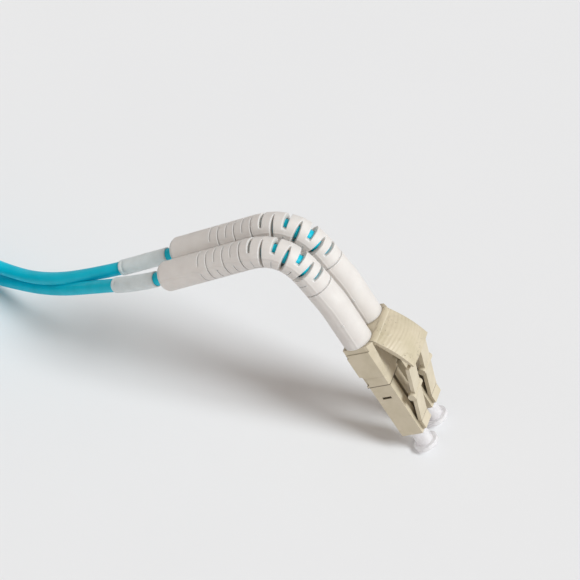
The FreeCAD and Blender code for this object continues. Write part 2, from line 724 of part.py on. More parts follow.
def ringed_rod(radius, start, end, bevel=0):
    """A rod along the boot in straight lengths, as its rings are, that meet where its line turns."""
    inside = [node for node, _ in boot_nodes() if start < node < end]
    steps = [(distance, radius) for distance in [start] + inside + [end - bevel]]
    if bevel:
        steps.append((end, radius - bevel / 2))
    circles = []
    for distance, size in steps:
        place, heading, _ = boot_station(distance)
        circles.append(Part.Wire(Part.makeCircle(size, place, heading)))
    return Part.makeLoft(circles, True, True)


def boot(name, side):
    """Slotted flexible boot: pairs of slots that turn a quarter from each station to the next."""
    radius = S.boot_size.value / 2
    length = boot_length()
    shape = ringed_rod(radius, 0, length, S.boot_bevel.value)
    mouth = length - S.mouth_long.value
    cutters = [ringed_rod(S.ring_bore.value / 2, S.lean_start.value, mouth)]
    place, heading, _ = boot_station(mouth)
    cutters.append(Part.makeCylinder(S.boot_bore.value / 2, S.mouth_long.value + 1, place, heading))
    start, heading, _ = boot_station(0)
    cutters.append(Part.makeCylinder(S.root_bore.value / 2, S.root_depth.value, start, heading))
    place, heading, _ = boot_station(S.boot_root.value)
    ring = Part.makeCylinder(radius + 1, S.groove_wide.value, place, heading)
    core = Part.makeCylinder(radius - S.groove_deep.value, S.groove_wide.value, place, heading)
    cutters.append(ring.cut(core))
    for index, station in enumerate(slot_stations()):
        cutters += slot_cutters(index, *station)
    add_feature(f"{name}_boot", shape.cut(cutters), side)


def held_cord(name, side):
    """The stretch of cord that the crimp sleeve and the boot hold."""
    rod = ringed_rod(S.cord_size.value / 2, S.post_length.value, boot_length() - S.cord_inset.value)
    add_feature(f"{name}_held_cord", rod, side)


# ---- cords in the standing frame

def standing(point, side):
    """A point of a plug's frame in the standing frame, before origin_x."""
    turn = Rotation(Vector(0, 1, 0), S.nose_down.value)
    return turn.multVec(point) + Vector(0, side_offset(side).value, STAND_HEIGHT.value)


def boot_mouth(side):
    """Where the free cord starts, just inside the boot, and the way it points."""
    place, heading, _ = boot_station(boot_length() - S.cord_inset.value)
    turn = Rotation(Vector(0, 1, 0), S.nose_down.value)
    return standing(place, side), turn.multVec(heading)


CORNER_SHARE = 0.45  # how much of the shorter run beside a corner its arc takes up


def path_edges(points):
    """Straight runs through the points, joined by tangent arcs."""
    places = [Vector(*point) for point in points]
    edges, start = [], places[0]
    for before, corner, after in zip(places, places[1:], places[2:]):
        arriving, leaving = corner - before, after - corner
        half_turn = arriving.getAngle(leaving) / 2
        cut = CORNER_SHARE * min(arriving.Length, leaving.Length)
        radius = cut / math.tan(half_turn)
        arriving.normalize()
        leaving.normalize()
        arc_start, arc_end = corner - arriving * cut, corner + leaving * cut
        middle_way = (leaving - arriving).normalize()
        middle = corner + middle_way * (radius / math.cos(half_turn) - radius)
        edges.append(Part.LineSegment(start, arc_start).toShape())
        edges.append(Part.Arc(arc_start, middle, arc_end).toShape())
        print(f"  arc radius {radius:.1f} mm, turn {math.degrees(2 * half_turn):.1f} degrees")
        start = arc_end
    edges.append(Part.LineSegment(start, places[-1]).toShape())
    return edges


def part_of_path(edges, start, end):
    """The stretch of a path between two distances along it."""
    kept, walked = [], 0.0
    for edge in edges:
        low, high = max(start - walked, 0), min(end - walked, edge.Length)
        if high - low > 1e-6:
            first = edge.getParameterByLength(low)
            last = edge.getParameterByLength(high)
            kept.append(edge.Curve.toShape(first, last))
        walked += edge.Length
    return kept


def tube_along(edges, radius):
    start = edges[0].valueAt(edges[0].FirstParameter)
    heading = edges[0].tangentAt(edges[0].FirstParameter)
    section = Part.Wire(Part.makeCircle(radius, start, heading))
    return Part.Wire(edges).makePipeShell([section], True, True)


def hank_centre():
    """Middle of the hank, from its near end and the line on which the cords reach it."""
    outer = S.hank_inner.value + S.hank_wide.value
    return S.hank_x.value - S.hank_straight.value / 2 - outer, S.hank_y.value


def cord_points(name, side):
    start, heading = boot_mouth(side)
    lead = start + heading * S.cord_lead.value
    route = NEAR_ROUTE if name == "near" else FAR_ROUTE
    centre_x, centre_y = hank_centre()
    entry_x = centre_x + S.hank_straight.value / 2
    entry_y = centre_y + S.hank_inner.value + S.hank_wide.value - S.cord_size.value / 2
    layer = 0 if name == "near" else 3
    entry_z = hank_base() + (layer + 0.5) * S.cord_size.value
    return [tuple(start), tuple(lead)] + route + [(entry_x, entry_y, entry_z)]


def hank_base():
    return (S.tie_thick + S.tie_gap).value


def cord(name, side):
    """The free cord from the boot to the hank, and the label sleeve on it."""
    print(f"{name} cord")
    points = cord_points(name, side)
    print("  starts at", *(round(value, 3) for value in points[0] + points[1]))
    edges = path_edges(points)
    tube = tube_along(edges, S.cord_size.value / 2)
    length = sum(edge.Length for edge in edges)
    share = tube.Volume / (math.pi * S.cord_size.value ** 2 / 4 * length)
    print(f"  length {length:.1f} mm, volume over section times length {share:.4f}")
    add_feature(f"{name}_cord", tube)
    start = (S.cord_inset + S.label_start).value
    stretch = part_of_path(edges, start, start + S.label_long.value)
    outside = tube_along(stretch, S.label_size.value / 2)
    add_feature(f"{name}_label_sleeve", outside.cut(tube_along(stretch, S.label_bore.value / 2)))


def racetrack(sketch, half_straight, radius):
    """Two half circles joined by two straight lines, round the sketch's origin."""
    first = sketch.GeometryCount
    half, size = number(half_straight), number(radius)
    ring = Part.Circle(Vector(half, 0, 0), Vector(0, 0, 1), size)
    sketch.addGeometry(Part.ArcOfCircle(ring, -math.pi / 2, math.pi / 2))
    sketch.addGeometry(Part.LineSegment(Vector(half, size, 0), Vector(-half, size, 0)))
    ring = Part.Circle(Vector(-half, 0, 0), Vector(0, 0, 1), size)
    sketch.addGeometry(Part.ArcOfCircle(ring, math.pi / 2, 3 * math.pi / 2))
    sketch.addGeometry(Part.LineSegment(Vector(-half, -size, 0), Vector(half, -size, 0)))
    for index in range(4):
        following = first + (index + 1) % 4
        sketch.addConstraint(Sketcher.Constraint("Coincident", first + index, 2, following, 1))
    for arc, middle, end in ((first, half_straight, -radius), (first + 2, -half_straight, radius)):
        pin(sketch, arc, 3, middle, 0)
        pin(sketch, arc, 1, middle, end)
        index = sketch.addConstraint(Sketcher.Constraint("DistanceX", -1, 1, arc, 2, float(number(middle))))
        bind(sketch, f"Constraints[{index}]", middle)


def cord_hank():
    """Outer form of the hank that both cords' unseen length is folded into."""
    body = new_body("cord_hank")
    outer = S.hank_inner + S.hank_wide
    half = S.hank_straight / 2
    ring = sketch_on(body, "XY_Plane", "ring")
    racetrack(ring, half, outer)
    pad(body, ring, S.hank_tall)
    middle = sketch_on(body, "XY_Plane", "middle")
    racetrack(middle, half, S.hank_inner)
    pocket(body, middle, S.hank_tall, reverse=True)
    lay_down(body, S.tie_thick + S.tie_gap)


def hank_tie():
    """Flat strap closed round the middle of the hank."""
    body = new_body("hank_tie")
    half = S.hank_inner + S.hank_wide + S.tie_gap
    top = S.tie_thick + S.tie_gap * 2 + S.hank_tall
    around = sketch_on(body, "YZ_Plane", "around")
    box_outline(around, -half - S.tie_thick, 0, half + S.tie_thick, top + S.tie_thick)
    box_outline(around, -half, S.tie_thick, half, top)
    pad(body, around, S.tie_width, both=True)
    lay_down(body, 0)


def lay_down(body, height):
    middle_x = S.hank_x - S.hank_straight / 2 - S.hank_inner - S.hank_wide
    body.Placement = Placement(Vector(), Rotation())
    bind(body, "Placement.Base.x", middle_x + S.origin_x)
    bind(body, "Placement.Base.y", S.hank_y)
    bind(body, "Placement.Base.z", height)


# ---- the whole model

CORD_PIECES = ("near_cord", "far_cord", "near_label_sleeve", "far_label_sleeve", "cord_hank", "hank_tie")


def build():
    duplex_clip()
    trigger()
    for name, side in SIDES.items():
        for make in (plug_housing, latch_arm, ferrule, ferrule_flange, ferrule_spring, rear_body,
                     crimp_sleeve, fibre_tube, dust_cap, boot, held_cord, cord):
            make(name, side)
    cord_hank()
    hank_tie()
    doc.recompute()


def pieces():
    kinds = ("PartDesign::Body", "Part::Feature")
    return [item for item in doc.Objects if item.TypeId in kinds]


def centre_on_origin():
    """Move the model so that the box of the pieces that aren't on the cords has its middle at x = 0."""
    boxes = [item.Shape.optimalBoundingBox() for item in pieces() if item.Label not in CORD_PIECES]
    middle = (min(box.XMin for box in boxes) + max(box.XMax for box in boxes)) / 2
    S.cells.set(S.cells.getCellFromAlias("origin_x"), str(round(-middle, 4)))
    doc.recompute()
    print("origin_x", round(-middle, 4))


def check():
    for item in doc.Objects:
        if "Invalid" in item.State or "Error" in item.State:
            raise RuntimeError(f"{item.Label} is {item.State}")
    for item in pieces():
        if item.Shape.isNull() or not item.Shape.isValid():
            raise RuntimeError(f"{item.Label} has no valid shape")


def export():
    os.makedirs("parts", exist_ok=True)
    for item in pieces():
        item.Shape.exportStep(f"parts/{item.Label}.step")
        print(item.Label, len(item.Shape.Solids), round(item.Shape.Volume, 3))


build()
centre_on_origin()
check()
export()
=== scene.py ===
"""Looks of a duplex fibre connector with slotted angled boots, standing on its dust caps, on two aqua cords.

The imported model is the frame: its pieces keep their shapes and get their finishes here.  The free cords, the
cords inside the boots, the label sleeves, the strap of the hank, the boots' gate marks and the thin root of
the trigger are made here as smooth surfaces.  Lengths are in metres where nothing else is said.
"""
import json
import math

import bpy
import numpy as np
from bpy.props import FloatProperty, FloatVectorProperty, IntProperty, PointerProperty
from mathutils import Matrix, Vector


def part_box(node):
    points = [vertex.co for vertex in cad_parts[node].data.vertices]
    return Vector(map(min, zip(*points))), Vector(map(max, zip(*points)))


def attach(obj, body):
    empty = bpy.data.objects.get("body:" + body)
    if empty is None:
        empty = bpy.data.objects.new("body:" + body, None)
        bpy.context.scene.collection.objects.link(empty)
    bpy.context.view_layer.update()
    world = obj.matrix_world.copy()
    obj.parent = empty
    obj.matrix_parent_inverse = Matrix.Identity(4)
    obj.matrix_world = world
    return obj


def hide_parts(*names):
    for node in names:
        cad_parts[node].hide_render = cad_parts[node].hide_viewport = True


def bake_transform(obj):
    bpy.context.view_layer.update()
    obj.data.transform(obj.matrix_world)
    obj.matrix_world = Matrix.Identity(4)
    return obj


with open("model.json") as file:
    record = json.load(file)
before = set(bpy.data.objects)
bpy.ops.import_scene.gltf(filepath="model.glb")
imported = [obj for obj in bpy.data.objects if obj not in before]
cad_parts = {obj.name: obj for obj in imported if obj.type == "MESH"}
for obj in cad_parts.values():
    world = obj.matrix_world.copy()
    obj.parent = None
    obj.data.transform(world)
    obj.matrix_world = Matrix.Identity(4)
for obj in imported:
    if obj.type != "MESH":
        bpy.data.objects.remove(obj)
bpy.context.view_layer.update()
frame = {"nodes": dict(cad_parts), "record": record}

bl_info = {
    "name": "Duplex fibre connector",
    "version": (1, 0, 0),
    "blender": (4, 5, 0),
    "location": "3D View > Sidebar > Connector",
    "description": "Finishes, cords and studio for a duplex fibre connector",
    "category": "Object",
}

MM = 0.001
SIDES = ("near", "far")
ROOT = "connector"
MOUNTS = {mount["name"]: mount for mount in frame["record"]["mounts"]}
FORWARD = np.array(MOUNTS["near_plug_face"]["axis"])   # from the cords to the plugs' front faces

# Places given in millimetres, before the shift that centres the connector.
BOOT_MOUTH = {"near": (-44.555, -3.125, 28.522), "far": (-44.555, 3.125, 28.522)}
CORD_ROUTE = {
    "near": [(-49.546, -3.125, 25.192), (-58.3, -0.2, 18.8), (-71.3, 5.2, 8.4), (-84.0, 10.4, 2.3),
             (-94.0, 11.9, 1.7)],
    "far": [(-49.546, 3.125, 25.192), (-58.6, 2.9, 19.4), (-71.5, 4.9, 11.0), (-83.4, 10.2, 5.4),
            (-93.8, 11.6, 7.6)],
}
HANK_END_X = -91.0                # the hank's near end
LOOK_AT = (-27.2, 9.99, 17.62)    # what the camera looks at

# Each cord's turns in the hank, side by side and one over the other.
TURNS_ACROSS, LAYERS = 3, 3
FIRST_LAYER = {"near": 0, "far": LAYERS}

# Millimetres along the plugs, counted from their front faces.
CLIP_FROM_FACE = -12.1            # the clip's front edge
BOOT_FROM_FACE = -21.3            # the boots' front ends
GATE_FROM_FACE = -26.7            # the boots' gate marks
ROOT_EDGE = (-21.28, 3.35)        # the trigger's root edge, with its height over the plugs' middle
ROOT_HALF = 4.2                   # half the width of the trigger's root
PARTING_ANGLE = 20.0              # degrees from a boot's flank up to its parting line

# Millimetres along a boot's line, counted from its front end.
HELD_FROM, HELD_TO = 4.7, 44.93   # where the cord inside it starts and ends
KINK = (7.5, 7.4, 9.8)            # degrees of its first turn, and where that starts and ends
BEND = (85.5, 14.6, 28.92)        # the same for its bend

# Millimetres along a cord's line, counted from its boot's mouth: where its sleeve starts, and its length.
SLEEVE_FROM, SLEEVE_LONG = 3.1, 10.6

# How many places the surfaces have along and round them.
HELD_ROUND = 40
SLEEVE_ROWS, SLEEVE_ROUND = 86, 56
STRAP_ROWS, STRAP_ROUND = 260, 28
BAND_ROWS, BAND_ROUND = 43, 18
GATE_ROWS, GATE_ROUND = 10, 24

LAMP_FROM = (0.85, -0.15, 1.0)
FILL_FROM = (-0.45, -1.0, 0.55)
LENS = 155.1                      # the camera's, in millimetres
FLOOR_HALF = 6.0


def linear(code):
    """Linear red, green and blue of an sRGB hex value."""
    parts = [int(code[i:i + 2], 16) / 255 for i in (0, 2, 4)]
    return tuple(c / 12.92 if c <= 0.04045 else ((c + 0.055) / 1.055) ** 2.4 for c in parts)


# ---- surfaces

def shown_mesh(name, places, faces, spread=None):
    """A smooth mesh object in the scene, from places (n, 3) and their faces; spread (n, 2) is its UV map."""
    mesh = bpy.data.meshes.new(name)
    mesh.from_pydata(places.tolist(), [], faces)
    if spread is not None:
        corner = np.empty(len(mesh.loops), dtype=np.int32)
        mesh.loops.foreach_get("vertex_index", corner)
        mesh.uv_layers.new(name="UVMap").data.foreach_set("uv", spread[corner].ravel())
    mesh.shade_smooth()
    piece = bpy.data.objects.new(name, mesh)
    bpy.context.scene.collection.objects.link(piece)
    return piece


def grid_faces(rows, columns, close_rows, close_columns):
    """Corner numbers of the faces of a grid; a closed side joins its last line to its first."""
    row = np.arange(rows if close_rows else rows - 1)
    column = np.arange(columns if close_columns else columns - 1)
    row, column = np.meshgrid(row, column, indexing="ij")
    next_row, next_column = (row + 1) % rows, (column + 1) % columns
    corners = (row * columns + column, row * columns + next_column,
               next_row * columns + next_column, next_row * columns + column)
    return np.stack(corners, axis=-1).reshape(-1, 4).tolist()


def end_faces(rows, columns, own=None):
    """The two faces that close the ends of a round; own is how many of a row's places they take."""
    own = own or columns
    last = (rows - 1) * columns
    return [list(range(own)), list(range(last + own - 1, last - 1, -1))]


def unit(arrows):
    """The same arrows, all of length 1."""
    return arrows / np.linalg.norm(arrows, axis=-1, keepdims=True)


def ramp(x, start, end):
    """0 before start, 1 after end, and 3 t^2 - 2 t^3 between them."""
    t = np.clip((x - start) / (end - start), 0, 1)
    return t * t * (3 - 2 * t)


def bulged(wave, power):
    """sign(wave) * |wave|^power: a sine or cosine that turns a circle into a rounded box."""
    return np.sign(wave) * np.abs(wave) ** power


def walked(places):
    """The distance from the first of some places to each of them, along them."""
    return np.concatenate([[0.0], np.cumsum(np.linalg.norm(np.diff(places, axis=0), axis=1))])


def summed(slope, step):
    """The sum of a slope up to each place, with straight lines between the places, which are step apart."""
    return np.concatenate([[0.0], np.cumsum((slope[1:] + slope[:-1]) / 2)]) * step


def ring(radius, angle):
    """x = radius * cos(angle), y = radius * sin(angle)."""
    return np.stack([radius * np.cos(angle), radius * np.sin(angle)], axis=-1)


def carried_profile(path, profile, across):
    """place(i, j) = path(i) + side(i) * profile_x(i, j) + upward(i) * profile_y(i, j).

    side is at right angles to the path and to the direction across, and upward to the path and to side.
    """
    tangent = unit(np.gradient(path, axis=0))
    side = unit(np.cross(tangent, np.asarray(across, float)))
    upward = np.cross(side, tangent)
    return path[:, None, :] + side[:, None, :] * profile[..., :1] + upward[:, None, :] * profile[..., 1:]


def plug_place(x, y, z):
    """Places in the frame from millimetres along the plugs: x from their front faces, z towards the latches.

    The two front faces and their direction come from the record's mounts.
    """
    near, far = (np.array(MOUNTS[f"{side}_plug_face"]["pos_m"]) for side in SIDES)
    latchward = np.array([-FORWARD[2], 0.0, FORWARD[0]])
    return ((near + far) / 2 + np.multiply.outer(x, FORWARD) * MM + np.multiply.outer(y, [0.0, MM, 0.0])
            + np.multiply.outer(z, latchward) * MM)


# ---- materials

def feed(node, **inputs):
    """Sets a node's inputs; each is a value, or an output socket to link to it.

    An input is named with _ for a space, or n_ and its number where names repeat.
    """
    for name, value in inputs.items():
        socket = node.inputs[int(name[2:]) if name.startswith("n_") else name.replace("_", " ")]
        if isinstance(value, bpy.types.NodeSocket):
            node.id_data.links.new(value, socket)
        else:
            socket.default_value = value


def add_node(tree, kind, settings=None, **inputs):
    """Adds a node with its settings and its inputs, which are named as for feed."""
    node = tree.nodes.new(kind)
    for name, value in (settings or {}).items():
        setattr(node, name, value)
    feed(node, **inputs)
    return node


def new_material(name):
    """An empty node material with its shader and output; returns the material, its tree and the shader."""
    material = bpy.data.materials.new(name)
    material.use_nodes = True
    tree = material.node_tree
    tree.nodes.clear()
    shader = tree.nodes.new("ShaderNodeBsdfPrincipled")
    add_node(tree, "ShaderNodeOutputMaterial", Surface=shader.outputs["BSDF"])
    return material, tree, shader


def skin(name, colour, deep, patch, rough, grain, edge=None, edge_wear_and_highlight=None, edge_wear_and_highlight_share=0.5, crevice_shade=None):
    """A surface whose colour drifts to deep in soft patches, with a fine grain and rounded edges painted
    paler.

    patch is the patches' size, rough the lowest and highest roughness, grain the size and the depth of the
    grain, edge the radius of the rounded edges, pale the colour painted over them, partly as rubbed wear and
    partly as a painted highlight, edge_wear_and_highlight_share how much of it, and grime the reach and the
    colour of painted shade that darkens seams and corners.
    Returns the material, its tree, its shader and the place output.
    """
    material, tree, shader = new_material(name)
    place = add_node(tree, "ShaderNodeTexCoord").outputs["Object"]
    drift = add_node(tree, "ShaderNodeTexNoise", Vector=place, Scale=1 / patch, Detail=3.0)
    share = add_node(tree, "ShaderNodeMapRange", Value=drift.outputs["Fac"], From_Min=0.35, From_Max=0.7)
    tone = add_node(tree, "ShaderNodeMix", {"data_type": "RGBA"}, n_0=share.outputs["Result"],
                    n_6=(*colour, 1), n_7=(*deep, 1)).outputs[2]
    if crevice_shade is not None:
        # Painted shade: where ambient occlusion finds other surfaces close by, in seams and corners, the
        # colour darkens.
        seam_shade = add_node(tree, "ShaderNodeAmbientOcclusion", {"samples": 8}, Distance=crevice_shade[0])
        depth = add_node(tree, "ShaderNodeMapRange", Value=seam_shade.outputs["AO"], From_Min=0.35, From_Max=0.95,
                         To_Min=0.85, To_Max=0.0)
        tone = add_node(tree, "ShaderNodeMix", {"data_type": "RGBA"}, n_0=depth.outputs["Result"],
                        n_6=tone, n_7=(*crevice_shade[1], 1)).outputs[2]
    rounded = add_node(tree, "ShaderNodeBevel", {"samples": 4}, Radius=edge) if edge else None
    if edge_wear_and_highlight is not None:
        # The rounded normal leaves the flat one only near an edge: there their dot product falls below 1, and
        # there the edge is painted paler, partly as rubbed wear and partly as a painted highlight.
        flat = add_node(tree, "ShaderNodeNewGeometry").outputs["True Normal"]
        turned = add_node(tree, "ShaderNodeVectorMath", {"operation": "DOT_PRODUCT"},
                          n_0=rounded.outputs["Normal"], n_1=flat).outputs["Value"]
        rub_and_highlight = add_node(tree, "ShaderNodeMapRange", Value=turned, From_Min=0.99, From_Max=0.88,
                       To_Max=edge_wear_and_highlight_share)
        tone = add_node(tree, "ShaderNodeMix", {"data_type": "RGBA"}, n_0=rub_and_highlight.outputs["Result"],
                        n_6=tone, n_7=(*edge_wear_and_highlight, 1)).outputs[2]
    smear = add_node(tree, "ShaderNodeTexNoise", Vector=place, Scale=2.3 / patch, Detail=2.0)
    gloss = add_node(tree, "ShaderNodeMapRange", Value=smear.outputs["Fac"], From_Min=0.3, From_Max=0.7,
                     To_Min=rough[0], To_Max=rough[1])
    speck = add_node(tree, "ShaderNodeTexNoise", Vector=place, Scale=1 / grain[0], Detail=2.0)
    bump = add_node(tree, "ShaderNodeBump", Distance=grain[1], Height=speck.outputs["Fac"])
    if rounded:
        feed(bump, Normal=rounded.outputs["Normal"])
    feed(shader, Base_Color=tone, Roughness=gloss.outputs["Result"], Normal=bump.outputs["Normal"])
    return material, tree, shader, place


def more_bump(shader, height, distance):
    """Lays another height, times distance, over the bump that a surface has."""
    under = shader.inputs["Normal"].links[0].from_socket
    top = add_node(shader.id_data, "ShaderNodeBump", Distance=distance, Height=height, Normal=under)
    feed(shader, Normal=top.outputs["Normal"])


def over_colour(shader, share, colour):
    """Lays another colour over the surface's own, by share."""
    under = shader.inputs["Base Color"].links[0].from_socket
    mixed = add_node(shader.id_data, "ShaderNodeMix", {"data_type": "RGBA"}, n_0=share, n_6=under,
                     n_7=(*colour, 1))
    feed(shader, Base_Color=mixed.outputs[2])


def wave_scale(spacing):
    """The wave texture turns by 20 radians of its scale in one unit: scale = 2 pi / (20 * spacing)."""
    return 2 * math.pi / (20 * spacing)


def housing_surface(settings, name):
    """Glass-filled PBT, moulded in a spark-eroded tool: a dull beige with a faint cloudiness where the glass
    lies at the surface, a grain of 0.05 mm, drawn at 0.25 mm so that it shows, edges painted a little paler,
    partly as rubbed wear and partly as a painted highlight, and painted shade darkening the seams and
    corners.  Returns what skin does."""
    material, tree, shader, place = skin(
        name, settings.housing_colour, linear("CABEA4"), 0.0022, (0.42, 0.56), (0.00025, 0.000012), 0.00005,
        linear("E6DEC8"), crevice_shade=(0.001, linear("6A5D47")))
    feed(shader, IOR=1.55, Specular_IOR_Level=0.45)
    return material, tree, shader, place


def housing_plastic(settings):
    """The PBT of the plugs, the latch arms and the rear bodies, with nothing added."""
    return housing_surface(settings, "PBT with glass, moulded")[0]


def clip_plastic(settings):
    """The housings' PBT, with painted shade along the join at the clip's front edge: a dark line of
    0.15 mm that fades backwards over 0.05 mm."""
    material, tree, shader, place = housing_surface(settings, "PBT with glass, moulded, clip")
    edge = float(np.dot(plug_place(CLIP_FROM_FACE, 0.0, 0.0), FORWARD))
    behind = add_node(tree, "ShaderNodeVectorMath", {"operation": "DOT_PRODUCT"}, n_0=place,
                      n_1=tuple(FORWARD))
    # Painted shade: a dark line just behind the clip's front edge.
    seam_shade = add_node(tree, "ShaderNodeMapRange", Value=behind.outputs["Value"], From_Min=edge - 0.00020,
                    From_Max=edge - 0.00015, To_Max=0.85)
    over_colour(shader, seam_shade.outputs["Result"], linear("5A4E3B"))
    return material


def trigger_plastic(settings):
    """The same PBT, with the tool's milling left on the trigger's top: shallow ridges across it, 0.55 mm
    apart, that fade in and out over 1.5 mm, and a few pits of 0.2 mm in patches of 2.4 mm, painted darker
    as shade inside them.  Its rounded edges are painted paler, partly as rubbed wear and partly as a
    painted highlight."""
    material, tree, shader, place = skin(
        "PBT with glass, milled tool", settings.trigger_colour, linear("C4B89C"), 0.0026, (0.38, 0.52),
        (0.00025, 0.00001), 0.00006, linear("E8E0CC"))
    feed(shader, IOR=1.55, Specular_IOR_Level=0.45)
    along = add_node(tree, "ShaderNodeVectorRotate", {"rotation_type": "Y_AXIS"}, Vector=place,
                     Angle=math.atan2(FORWARD[2], FORWARD[0])).outputs["Vector"]
    ridges = add_node(tree, "ShaderNodeTexWave", {"bands_direction": "X"}, Vector=along,
                      Scale=wave_scale(0.00055), Distortion=1.2, Detail=2.0, Detail_Scale=0.6)
    fade = add_node(tree, "ShaderNodeTexNoise", Vector=along, Scale=650.0, Detail=1.0)
    depth = add_node(tree, "ShaderNodeMath", {"operation": "MULTIPLY"}, n_0=ridges.outputs["Fac"],
                     n_1=fade.outputs["Fac"])
    more_bump(shader, depth.outputs["Value"], 0.00008)
    pits = add_node(tree, "ShaderNodeTexVoronoi", Vector=along, Scale=1900.0)
    whole = add_node(tree, "ShaderNodeMapRange", Value=pits.outputs["Distance"], From_Min=0.10, From_Max=0.22)
    patch = add_node(tree, "ShaderNodeTexNoise", Vector=along, Scale=420.0, Detail=0.0)
    few = add_node(tree, "ShaderNodeMapRange", Value=patch.outputs["Fac"], From_Min=0.52, From_Max=0.6)
    raised = add_node(tree, "ShaderNodeMath", {"operation": "MULTIPLY"}, n_0=whole.outputs["Result"],
                      n_1=few.outputs["Result"])
    more_bump(shader, raised.outputs["Value"], 0.00008)
    # Painted shade: the pits' colour darkens where their bump sinks.
    pit_shade = add_node(tree, "ShaderNodeMath", {"operation": "SUBTRACT"}, n_0=few.outputs["Result"],
                      n_1=raised.outputs["Value"])
    faint_pit_shade = add_node(tree, "ShaderNodeMath", {"operation": "MULTIPLY"}, n_0=pit_shade.outputs["Value"], n_1=0.55)
    over_colour(shader, faint_pit_shade.outputs["Value"], linear("84765C"))
    return material


def boot_rubber(settings, side):
    """TPE elastomer, moulded in two halves: a soft milky white with a pinkish shade, light going a little way
    in, and the halves' parting line, 0.1 mm wide, along both flanks of the upper side."""
    # Its rounded edges are painted near-white over 0.34 mm: a painted highlight along the lips of its slots
    # and its other edges.
    material, tree, shader, place = skin(
        f"TPE elastomer, moulded, {side}", settings.boot_colour, linear("DAD4CF"), 0.003, (0.5, 0.64),
        (0.0004, 0.00001), 0.00034, linear("FCF9F5"), 0.95)
    feed(shader, IOR=1.5, Subsurface_Weight=0.3, Subsurface_Radius=(1.0, 0.9, 0.85),
         Subsurface_Scale=0.0012)
    low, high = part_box(f"{side}_boot")
    middle, reach = (low.y + high.y) / 2, (high.y - low.y) / 2 * math.cos(math.radians(PARTING_ANGLE))
    across = add_node(tree, "ShaderNodeSeparateXYZ", Vector=place).outputs["Y"]
    aside = add_node(tree, "ShaderNodeMath", {"operation": "SUBTRACT"}, n_0=across, n_1=middle)
    flank = add_node(tree, "ShaderNodeMath", {"operation": "ABSOLUTE"}, n_0=aside.outputs["Value"])
    past = add_node(tree, "ShaderNodeMath", {"operation": "SUBTRACT"}, n_0=flank.outputs["Value"], n_1=reach)
    away = add_node(tree, "ShaderNodeMath", {"operation": "ABSOLUTE"}, n_0=past.outputs["Value"])
    line = add_node(tree, "ShaderNodeMapRange", Value=away.outputs["Value"], From_Min=0.00002,
                    From_Max=0.00009, To_Min=1.0, To_Max=0.0)
    normal = add_node(tree, "ShaderNodeTexCoord").outputs["Normal"]
    height = add_node(tree, "ShaderNodeSeparateXYZ", Vector=normal).outputs["Z"]
    upper = add_node(tree, "ShaderNodeMath", {"operation": "GREATER_THAN"}, n_0=height, n_1=0.0)
    ridge = add_node(tree, "ShaderNodeMath", {"operation": "MULTIPLY"}, n_0=line.outputs["Result"],
                     n_1=upper.outputs["Value"])
    more_bump(shader, ridge.outputs["Value"], 0.00005)
    return material


def jacket_plastic(settings):
    """PVC, extruded: an even aqua with a satin skin, faint lengthwise draw lines from the die and a slight
    unevenness of its shine.  The lines follow the cord's own UV map, whose v goes round it."""
    material, tree, shader, _ = skin(
        "PVC jacket, extruded", settings.cord_colour, linear("00BAD2"), 0.004, (0.38, 0.5),
        (0.0005, 0.000008))
    feed(shader, IOR=1.53, Specular_IOR_Level=0.2, Subsurface_Weight=0.08,
         Subsurface_Radius=(0.3, 0.9, 1.0), Subsurface_Scale=0.0005)
    spread = add_node(tree, "ShaderNodeTexCoord").outputs["UV"]
    around = add_node(tree, "ShaderNodeSeparateXYZ", Vector=spread).outputs["Y"]
    both = add_node(tree, "ShaderNodeCombineXYZ", X=around, Y=around)
    lines = add_node(tree, "ShaderNodeTexNoise", {"noise_dimensions": "2D"}, Vector=both.outputs["Vector"],
                     Scale=26.0, Detail=1.0)
    more_bump(shader, lines.outputs["Fac"], 0.00001)
    return material


def sleeve_plastic(settings):
    """Polyolefin, shrunk over the cord by heat: a smooth grey-white film with a low shine, slightly clouded,
    with light passing a little way in."""
    # Its rounded edges are painted paler, partly as rubbed wear and partly as a painted highlight.
    material, _, shader, _ = skin(
        "Polyolefin sleeve, heat-shrunk", settings.label_colour, linear("D3DBDB"), 0.0016, (0.28, 0.42),
        (0.0009, 0.00002), 0.00008, linear("EEF2F0"))
    feed(shader, IOR=1.49, Subsurface_Weight=0.15, Subsurface_Radius=(0.7, 0.9, 1.0),
         Subsurface_Scale=0.0005)
    return material


def cap_plastic(settings):
    """LDPE, moulded thin: milky and half see-through, with soft blurred highlights and a faint cloudiness."""
    material, _, shader, _ = skin(
        "LDPE cap, moulded", settings.cap_colour, linear("EEEBED"), 0.002, (0.22, 0.34), (0.0009, 0.000001))
    feed(shader, IOR=1.51, Alpha=0.58, Subsurface_Weight=0.5, Subsurface_Radius=(1.0, 1.0, 1.0),
         Subsurface_Scale=0.001)
    return material


def ferrule_ceramic():
    """Zirconia, ground and polished: a cream white, glassy and very even."""
    material, _, shader, _ = skin(
        "Zirconia, ground", linear("F0ECE2"), linear("E8E3D6"), 0.0012, (0.08, 0.14), (0.0003, 0.000001),
        0.00004)
    feed(shader, IOR=2.15, Subsurface_Weight=0.1, Subsurface_Scale=0.0005)
    return material


def metal_skin(name, colour, deep, rough, grain):
    """A metal surface: fine marks in its bump and a drifting shine."""
    material, _, shader, _ = skin(name, colour, deep, 0.001, rough, grain, 0.00005)
    feed(shader, Metallic=1.0)
    return material


